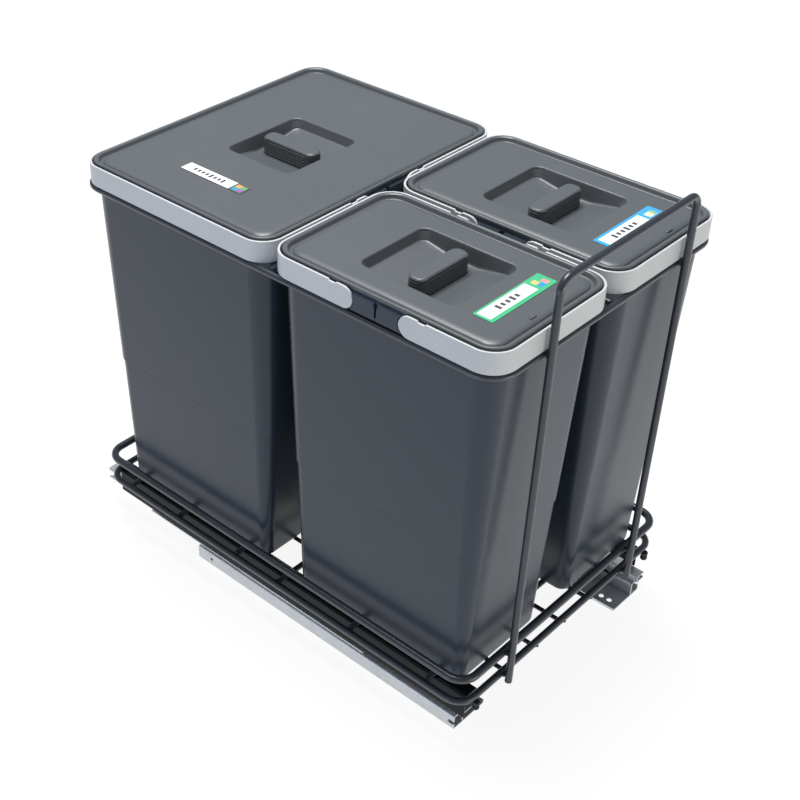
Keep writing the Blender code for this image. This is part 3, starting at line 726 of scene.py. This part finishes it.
# ---- wires -----------------------------------------------------------------------------------------
def tube(points, radius, closed=False, sides=14):
    """Round wire along a polyline, with softened ends when it is open."""
    path = [Vector(point) for point in points]
    count = len(path)
    headings = []
    for index in range(count):
        before = path[index - 1] if closed or index else path[0]
        after = path[(index + 1) % count] if closed or index < count - 1 else path[-1]
        headings.append((after - before).normalized())
    side = headings[0].orthogonal().normalized()
    frames = []
    for heading in headings:
        side = (side - heading * side.dot(heading)).normalized()
        frames.append((side.copy(), heading.cross(side)))
    stations = [(path[i], frames[i], radius) for i in range(count)]
    if not closed:
        soft = 0.35 * radius
        first, last = stations[0], stations[-1]
        stations = [(path[0], first[1], radius - soft), (path[0] + headings[0] * soft, first[1], radius)]
        stations += [(path[i], frames[i], radius) for i in range(1, count - 1)]
        stations += [(path[-1] - headings[-1] * soft, last[1], radius), (path[-1], last[1], radius - soft)]
    rings = []
    for centre, (first, second), size in stations:
        turns = [2.0 * math.pi * k / sides for k in range(sides)]
        rings.append([centre + (first * math.cos(t) + second * math.sin(t)) * size for t in turns])
    if closed:
        rings.append(rings[0])
        bm = loft(rings)
        bmesh.ops.remove_doubles(bm, verts=bm.verts[:], dist=0.000001)
        return bm
    return loft(rings, cap_first=True, cap_last=True)


def weld_bead(centre, size, bm, seed):
    """Small squashed blob of weld where two wires cross."""
    ball = bmesh.new()
    bmesh.ops.create_icosphere(ball, subdivisions=2, radius=1.0)
    for vert in ball.verts:
        swell = 1.0 + 0.16 * math.sin(7.0 * vert.co.x + seed) * math.cos(5.0 * vert.co.y - 2.0 * seed)
        vert.co = Vector(centre) + Vector(vert.co[i] * size[i] for i in range(3)) * swell
    return merge(bm, ball)


def round_loop(node, corner):
    """Closed loop of wire at the place of a packed loop."""
    low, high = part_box(node)
    radius = 0.5 * (high.z - low.z)
    span = (low.x + radius, high.x - radius, low.y + radius, high.y - radius)
    return rectangle_ring(span, corner, 0.5 * (low.z + high.z), 9), radius


def make_wires(coat):
    """Loops, straight wires, the hoop and the welds between them."""
    for node, corner in (("base_loop_lower", 0.018), ("base_loop_upper", 0.018), ("rim_loop", 0.024)):
        points, radius = round_loop(node, corner)
        make_piece("wire_" + node, tube(points, radius, closed=True, sides=16), coat, node)
    for part in frame["record"]["subparts"]:
        node = part["node"]
        if node.startswith(("floor_wire", "rim_cross", "rim_middle", "rear_upright")):
            low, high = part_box(node)
            extent = high - low
            axis = max(range(3), key=lambda i: extent[i])
            start, stop = 0.5 * (low + high), 0.5 * (low + high)
            trim = WIRE_TRIM if node.startswith("floor_wire_long") else 0.0
            start[axis], stop[axis] = low[axis] + trim, high[axis] - trim
            radius = 0.5 * min(extent)
            make_piece("wire_" + node, tube((start, stop), radius), coat, node)
    make_hoop(coat)
    make_welds(coat)


def make_hoop(coat):
    """Front hoop: two legs and two tight bends to a level bar."""
    low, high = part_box("front_hoop")
    half_x, bend_z = high.x - HOOP_RADIUS, high.z - HOOP_RADIUS - HOOP_CORNER
    top_y, foot_y = low.y + HOOP_RADIUS, high.y - HOOP_RADIUS
    points = [(-half_x, foot_y, low.z)]
    for x, start in ((-half_x + HOOP_CORNER, 180.0), (half_x - HOOP_CORNER, 90.0)):
        bend = arc((x, bend_z), HOOP_CORNER, start, start - 90.0, 10)
        points += [(px, top_y, pz) for px, pz in bend]
    points.append((half_x, foot_y, low.z))
    make_piece("wire_front_hoop", tube(points, HOOP_RADIUS, sides=18), coat, "front_hoop")


def make_welds(coat):
    """Weld beads where the hoop, the uprights and the floor wires meet the loops."""
    bm = bmesh.new()
    seed = 0.0
    loops = [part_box(node) for node in ("base_loop_lower", "base_loop_upper", "rim_loop")]
    for node in ("front_hoop", "rear_upright_left", "rear_upright_right"):
        low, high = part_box(node)
        xs = (-0.098, 0.098) if node == "front_hoop" else (0.5 * (low.x + high.x),)
        for loop_low, loop_high in loops:
            z = 0.5 * (loop_low.z + loop_high.z)
            y = loop_low.y - 0.0002 if node == "front_hoop" else loop_high.y + 0.0002
            for x in xs:
                seed += 1.3
                weld_bead((x, y, z), (0.0038, 0.0016, 0.0030), bm, seed)
    low, high = loops[0]
    for part in frame["record"]["subparts"]:
        node = part["node"]
        wire_low, wire_high = (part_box(node) if node.startswith("floor_wire") else (None, None))
        if node.startswith("floor_wire_long"):
            x, z = 0.5 * (wire_low.x + wire_high.x), wire_high.z
            for y in (low.y + 0.0035, high.y - 0.0035):
                seed += 0.7
                weld_bead((x, y, z), (0.0030, 0.0034, 0.0012), bm, seed)
        elif node.startswith("floor_wire_cross"):
            y, z = 0.5 * (wire_low.y + wire_high.y), 0.5 * (wire_low.z + wire_high.z)
            for x in (wire_low.x - 0.0004, wire_high.x + 0.0004):
                seed += 0.9
                weld_bead((x, y, z), (0.0020, 0.0036, 0.0032), bm, seed)
    make_piece("wire_welds", bm, coat, body=BODY_OF["base_loop_lower"])


# ---- runners ---------------------------------------------------------------------------------------
def bent_path(points, radius, steps=4):
    """Polyline with each bend rounded to a radius."""
    path = [Vector((x, z)) for x, z in points]
    rounded = [path[0]]
    for before, here, after in zip(path, path[1:], path[2:]):
        back, on = (before - here), (after - here)
        reach = min(radius, 0.48 * back.length, 0.48 * on.length)
        first, last = here + back.normalized() * reach, here + on.normalized() * reach
        for step in range(steps + 1):
            t = step / steps
            rounded.append(first.lerp(here, t).lerp(here.lerp(last, t), t))
    rounded.append(path[-1])
    return rounded


def sheet_section(path, thickness):
    """Closed outline of a sheet that follows a path."""
    normals = []
    for index, here in enumerate(path):
        before, after = path[max(index - 1, 0)], path[min(index + 1, len(path) - 1)]
        heading = (after - before).normalized()
        normals.append(Vector((-heading.y, heading.x)))
    half = 0.5 * thickness
    left = [here + normal * half for here, normal in zip(path, normals)]
    right = [here - normal * half for here, normal in zip(path, normals)]
    return left + list(reversed(right))


def folded_sheet(path, thickness, y0, y1, bend=0.0016, sign=1.0):
    """Sheet folded with round bends and running from y0 to y1."""
    section = sheet_section(bent_path([(sign * x, z) for x, z in path], bend), thickness)
    rings = [[(point.x, y, point.y) for point in section] for y in (y0, y1)]
    return loft(rings, cap_first=True, cap_last=True)


def punch(piece, holes):
    """Round holes and slots cut through a folded sheet."""
    for index, (centre, radius, axis, stretch) in enumerate(holes):
        cutter = bmesh.new()
        turn = Matrix.Rotation(math.radians(90.0), 4, "Y") if axis == "X" else Matrix.Identity(4)
        place = Matrix.Translation(centre) @ turn @ Matrix.Diagonal((1.0, stretch, 1.0, 1.0))
        bmesh.ops.create_cone(cutter, cap_ends=True, segments=28, radius1=radius, radius2=radius,
                              depth=0.006, matrix=place)
        mesh = bpy.data.meshes.new("punch")
        cutter.to_mesh(mesh)
        cutter.free()
        tool = bpy.data.objects.new("punch", mesh)
        bpy.context.scene.collection.objects.link(tool)
        cut = piece.modifiers.new(f"Hole {index + 1}", "BOOLEAN")
        cut.object = tool
        cut.solver = "EXACT"
        apply_modifier(piece, cut)
        bpy.data.objects.remove(tool)


def apply_modifier(piece, modifier):
    """Apply one modifier and leave the others as they are."""
    for other in piece.modifiers:
        other.show_viewport = other == modifier
    depsgraph = bpy.context.evaluated_depsgraph_get()
    depsgraph.update()
    mesh = bpy.data.meshes.new_from_object(piece.evaluated_get(depsgraph))
    mesh.name = piece.name
    piece.modifiers.remove(modifier)
    for other in piece.modifiers:
        other.show_viewport = True
    piece.data = mesh


CABINET_PATH = ((0.09575, 0.0042), (0.09575, 0.00075), (0.14095, 0.00075), (0.14095, 0.01645),
                (0.12795, 0.01645), (0.12795, 0.0018))
MIDDLE_PATH = ((0.1408, 0.0216), (0.1408, 0.0200), (0.1296, 0.0200), (0.1296, 0.0272), (0.1408, 0.0272),
               (0.1408, 0.0256))
DRAWER_PATH = ((0.1411, 0.0322), (0.1411, 0.0292), (0.1280, 0.0292), (0.1280, 0.0426), (0.1411, 0.0426),
               (0.1411, 0.0396))
RAIL_PATH = ((0.1429, 0.0268), (0.1429, 0.0532), (0.1265, 0.0532), (0.1265, 0.0480))
FOOT_X, FOOT_Z, FOOT_HOLE_RADIUS = 0.1064, 0.00075, 0.0028
FOOT_HOLES = (0.0115, 0.0210, 0.0550, 0.2400, 0.3200)     # from the front of the cabinet member
SIDE_X = 0.14095
FOLDED = (  # piece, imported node, path, sheet, bend radius, coated
    ("runner_cabinet_", "cabinet_member_", CABINET_PATH, 0.0015, 0.0018, False),
    ("runner_centre_", "runner_middle_", MIDDLE_PATH, 0.0012, 0.0014, False),
    ("runner_drawer_", "drawer_member_", DRAWER_PATH, 0.0012, 0.0016, False),
    ("carrier_rail_", "rail_", RAIL_PATH, 0.0014, 0.0020, True),
)


def cabinet_holes(sign, front, back):
    """Screw holes in the foot, and a round hole and a slot in the upright side."""
    holes = [((sign * FOOT_X, front + y, FOOT_Z), FOOT_HOLE_RADIUS, "Z", 1.0) for y in FOOT_HOLES]
    holes.append(((sign * SIDE_X, back - 0.020, 0.0090), 0.0018, "X", 1.0))
    holes.append(((sign * SIDE_X, front + 0.0035, 0.0085), 0.0022, "X", 2.0))
    return holes


def make_runners(zinc, coat):
    """Folded members of both runners, with the cabinet members' holes, and their ball cages."""
    for side, sign in (("left", -1.0), ("right", 1.0)):
        for piece, node, path, sheet, bend, coated in FOLDED:
            low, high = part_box(node + side)
            bm = folded_sheet(path, sheet, low.y, high.y, bend, sign)
            member = make_piece(piece + side, bm, coat if coated else zinc, node + side)
            if path == CABINET_PATH:
                punch(member, cabinet_holes(sign, low.y, high.y))
        make_cage(side, zinc)


def make_cage(side, zinc):
    """Ball cage: a thin strip with a row of balls standing in it."""
    low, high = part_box("ball_cage_" + side)
    z = 0.5 * (low.z + high.z)
    bm = bmesh.new()
    strip = [(low.x, z + 0.0003), (low.x, z - 0.0003), (high.x, z - 0.0003), (high.x, z + 0.0003)]
    ends = [[(x, y, height) for x, height in strip] for y in (low.y, high.y)]
    loft(ends, bm, cap_first=True, cap_last=True)
    radius = 0.5 * (high.z - low.z)
    count = max(2, int((high.y - low.y - 0.008) / 0.0075))
    pitch = (high.y - low.y - 0.008) / (count - 1)
    for index in range(count):
        ball = bmesh.new()
        bmesh.ops.create_icosphere(ball, subdivisions=2, radius=radius)
        place = (0.5 * (low.x + high.x), low.y + 0.004 + index * pitch, z)
        bmesh.ops.translate(ball, verts=ball.verts[:], vec=place)
        merge(bm, ball)
    make_piece("runner_balls_" + side, bm, zinc, "ball_cage_" + side)


def make_buffers(black):
    """Turned end buffers: a stem, a neck and a rounded head."""
    profile = ((0.0020, 0.0), (0.0030, 0.0002), (0.0035, 0.0010), (0.0036, 0.0022), (0.0034, 0.0034),
               (0.0026, 0.0040), (0.0026, 0.0050), (0.0034, 0.0056), (0.0036, 0.0064), (0.0036, 0.0084),
               (0.0033, 0.0090))
    for side in ("left", "right"):
        low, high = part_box("buffer_" + side)
        cx, cy = 0.5 * (low.x + high.x), 0.5 * (low.y + high.y)
        rings = []
        for radius, rise in profile:
            rings.append([(x, y, low.z + rise) for x, y in arc((cx, cy), radius, 0.0, 342.0, 19)])
        bm = loft(rings, cap_first=True, cap_last=True)
        make_piece("end_buffer_" + side, bm, black, "buffer_" + side)


# ---- labels ----------------------------------------------------------------------------------------
def print_blocks(centre, pitch, along_x, count):
    """A row of plain dark blocks in a label's white field."""
    blocks = []
    for index in range(count):
        offset = (index - 0.5 * (count - 1)) * pitch
        tall = 0.0034 if index in (0, 3) else 0.0024
        place = (centre[0] + offset, centre[1]) if along_x else (centre[0], centre[1] + offset)
        half = (0.30 * pitch, tall) if along_x else (tall, 0.30 * pitch)
        blocks.append((place, *half, (0.06, 0.06, 0.07)))
    return tuple(blocks)


def label_print(name, ink, field, patches):
    """Printed label: coloured ground, a white field and a few plain patches of colour."""
    finish = Finish(name)
    grain = finish.noise(1300.0, 2.0)
    wash = finish.noise(30.0, 3.0)
    white = finish.mix(wash, (0.80, 0.81, 0.82, 1.0), (0.88, 0.88, 0.88, 1.0))
    ground = finish.mix(wash, tone(ink, 0.92), tone(ink, 1.08))
    colour = finish.mix(inside(finish, *field), ground, white)
    for centre, half_x, half_y, paint in patches:
        colour = finish.mix(inside(finish, centre, half_x, half_y, 0.0004), colour, (*paint, 1.0))
    finish.set(base_color=colour, roughness=0.36 + grain * 0.10, coat_weight=0.3)
    finish.bump(grain, 0.00003, 0.3)
    return finish.material


def make_label(name, material):
    """Thin label with a soft upper edge."""
    node = "label_" + name
    low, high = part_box(node)
    span = (low.x, high.x, low.y, high.y)
    rings = []
    for inset, z in ((0.0, low.z), (0.0, high.z - 0.0001), (0.0001, high.z)):
        rings.append(rectangle_ring(grown(span, -inset), 0.0012, z, 4))
    make_piece("lid_label_" + name, loft(rings, cap_first=True, cap_last=True), material, node)


# ---- camera, light and floor -----------------------------------------------------------------------
CAMERA_PLACE = (-0.8889, -0.7348, 1.0140)
CAMERA_TURN = (-45.6358, -35.1746, -0.2864)
CAMERA_LENS = 62.997
CAMERA_SHIFT = (0.1522, -0.0114)
LIGHTS = (  # name, place, aim, width, height, power, colour
    ("Overhead", (0.10, 0.35, 2.30), (0.0, 0.0, 0.4), 1.0, 1.0, 62.0, (1.0, 1.0, 1.0)),
    ("Front", (0.20, -1.90, 0.16), (0.0, -0.25, 0.20), 1.1, 0.26, 8.5, (1.0, 0.98, 0.86)),
    ("Left", (-1.90, 0.10, 0.16), (-0.16, 0.0, 0.20), 1.1, 0.26, 6.0, (0.42, 0.62, 1.0)),
)


def set_camera():
    """Camera above the front left corner."""
    camera = bpy.data.objects.new("Camera", bpy.data.cameras.new("Camera"))
    bpy.context.scene.collection.objects.link(camera)
    yaw, pitch, roll = (math.radians(angle) for angle in CAMERA_TURN)
    ahead = Vector((-math.sin(yaw) * math.cos(pitch), math.cos(yaw) * math.cos(pitch), math.sin(pitch)))
    right = ahead.cross(Vector((0.0, 0.0, 1.0))).normalized()
    up = right.cross(ahead)
    right, up = right * math.cos(roll) + up * math.sin(roll), up * math.cos(roll) - right * math.sin(roll)
    camera.matrix_world = Matrix.Translation(CAMERA_PLACE) @ Matrix((
        (right.x, up.x, -ahead.x, 0.0),
        (right.y, up.y, -ahead.y, 0.0),
        (right.z, up.z, -ahead.z, 0.0),
        (0.0, 0.0, 0.0, 1.0),
    ))
    camera.data.sensor_width = 36.0
    camera.data.lens = CAMERA_LENS
    camera.data.shift_x, camera.data.shift_y = CAMERA_SHIFT
    camera.data.clip_start = 0.01
    bpy.context.scene.camera = camera


def area_light(name, place, aim, width, height, power, colour):
    data = bpy.data.lights.new(name, "AREA")
    data.shape = "RECTANGLE"
    data.size, data.size_y = width, height
    data.energy = power
    data.color = colour
    light = bpy.data.objects.new(name, data)
    light.location = place
    light.rotation_euler = (Vector(aim) - Vector(place)).to_track_quat("-Z", "Y").to_euler()
    bpy.context.scene.collection.objects.link(light)


def set_lights():
    """Dim pale surroundings, a soft light overhead, and low panels in front and at the left."""
    world = bpy.data.worlds.new("Studio")
    bpy.context.scene.world = world
    world.use_nodes = True
    background = world.node_tree.nodes["Background"].inputs
    background["Color"].default_value = (0.92, 0.96, 1.0, 1.0)
    background["Strength"].default_value = 0.34
    for light in LIGHTS:
        area_light(*light)
    bpy.context.scene.view_settings.view_transform = "Standard"


def make_floor():
    """Plain pale ground, a little below the runners."""
    finish = Finish("floor_paint")
    wash = finish.noise(0.8, 2.0)
    finish.set(base_color=finish.mix(wash, (0.11, 0.11, 0.11, 1.0), (0.13, 0.13, 0.13, 1.0)), roughness=0.9)
    finish.set(emission_color=(1.0, 1.0, 1.0, 1.0), emission_strength=0.90)
    bm = bmesh.new()
    bmesh.ops.create_grid(bm, x_segments=24, y_segments=24, size=6.0)
    mesh = bpy.data.meshes.new("Floor")
    bm.to_mesh(mesh)
    bm.free()
    mesh.materials.append(finish.material)
    floor = bpy.data.objects.new("Floor", mesh)
    floor.location = (0.0, 0.0, CAD_BOX[0][2] - 0.0006)
    bpy.context.scene.collection.objects.link(floor)


# ---- making the unit -------------------------------------------------------------------------------
set_camera()
set_lights()
make_floor()

BIN_GREY = moulded_plastic("bin_grey", (0.023, 0.033, 0.049), 0.25, shine=0.34)
LID_GREY = moulded_plastic("lid_grey", (0.078, 0.087, 0.096), 0.38)
HANDLE_GREY = moulded_plastic("handle_grey", (0.50, 0.51, 0.53), 0.40, 0.00004)
WIRE_COAT = powder_coat("wire_coat", (0.020, 0.026, 0.036))
# The rails' dark powder coat is made darker and duller than the wires' coat as painted shade, for the shade
# they lie in between the wires and under the bins.
RAIL_COAT_AND_PAINTED_SHADE = powder_coat("rail_coat_and_painted_shade", (0.006, 0.007, 0.009), 0.10)
ZINC = zinc_plate("zinc_sheet")
BLACK = rubber("black_rubber")
LID_TONE = (0.085, 0.092, 0.100)
REAR_PRINT = label_print("label_rear_print", LID_TONE, ((-0.1003, 0.1235), 0.0069, 0.0310), (
    ((-0.1030, 0.0872), 0.0030, 0.0030, (0.02, 0.30, 0.36)),
    ((-0.0975, 0.0872), 0.0026, 0.0030, (0.75, 0.33, 0.10)),
    ((-0.1030, 0.0812), 0.0030, 0.0028, (0.25, 0.12, 0.35)),
    ((-0.0975, 0.0812), 0.0026, 0.0028, (0.12, 0.36, 0.13)),
    *print_blocks((-0.1003, 0.1235), 0.0052, False, 8)))
LEFT_PRINT = label_print("label_left_print", (0.045, 0.42, 0.19), ((-0.0897, -0.2064), 0.0313, 0.0068), (
    ((-0.0515, -0.2050), 0.0028, 0.0028, (0.85, 0.50, 0.20)),
    ((-0.0500, -0.2110), 0.0040, 0.0024, (0.02, 0.28, 0.62)),
    ((-0.0440, -0.2095), 0.0026, 0.0034, (0.72, 0.28, 0.26)),
    *print_blocks((-0.0897, -0.2064), 0.0062, True, 5)))
RIGHT_PRINT = label_print("label_right_print", (0.03, 0.33, 0.66), ((0.0735, -0.2086), 0.0304, 0.0068), (
    ((0.1120, -0.2085), 0.0036, 0.0036, (0.80, 0.66, 0.42)),
    ((0.1180, -0.2085), 0.0020, 0.0040, (0.25, 0.45, 0.20)),
    *print_blocks((0.0735, -0.2086), 0.0062, True, 6)))

for bin_name in POCKETS:
    make_bin(bin_name, BIN_GREY)
    make_lid(bin_name, LID_GREY)
    make_grip(bin_name, LID_GREY)
    for half_name, half_end in HALVES[LONG_AXIS[bin_name]]:
        make_handle(bin_name, half_name, half_end, HANDLE_GREY)
make_label("rear", REAR_PRINT)
make_label("left", LEFT_PRINT)
make_label("right", RIGHT_PRINT)
make_wires(WIRE_COAT)
make_runners(ZINC, RAIL_COAT_AND_PAINTED_SHADE)
make_buffers(BLACK)
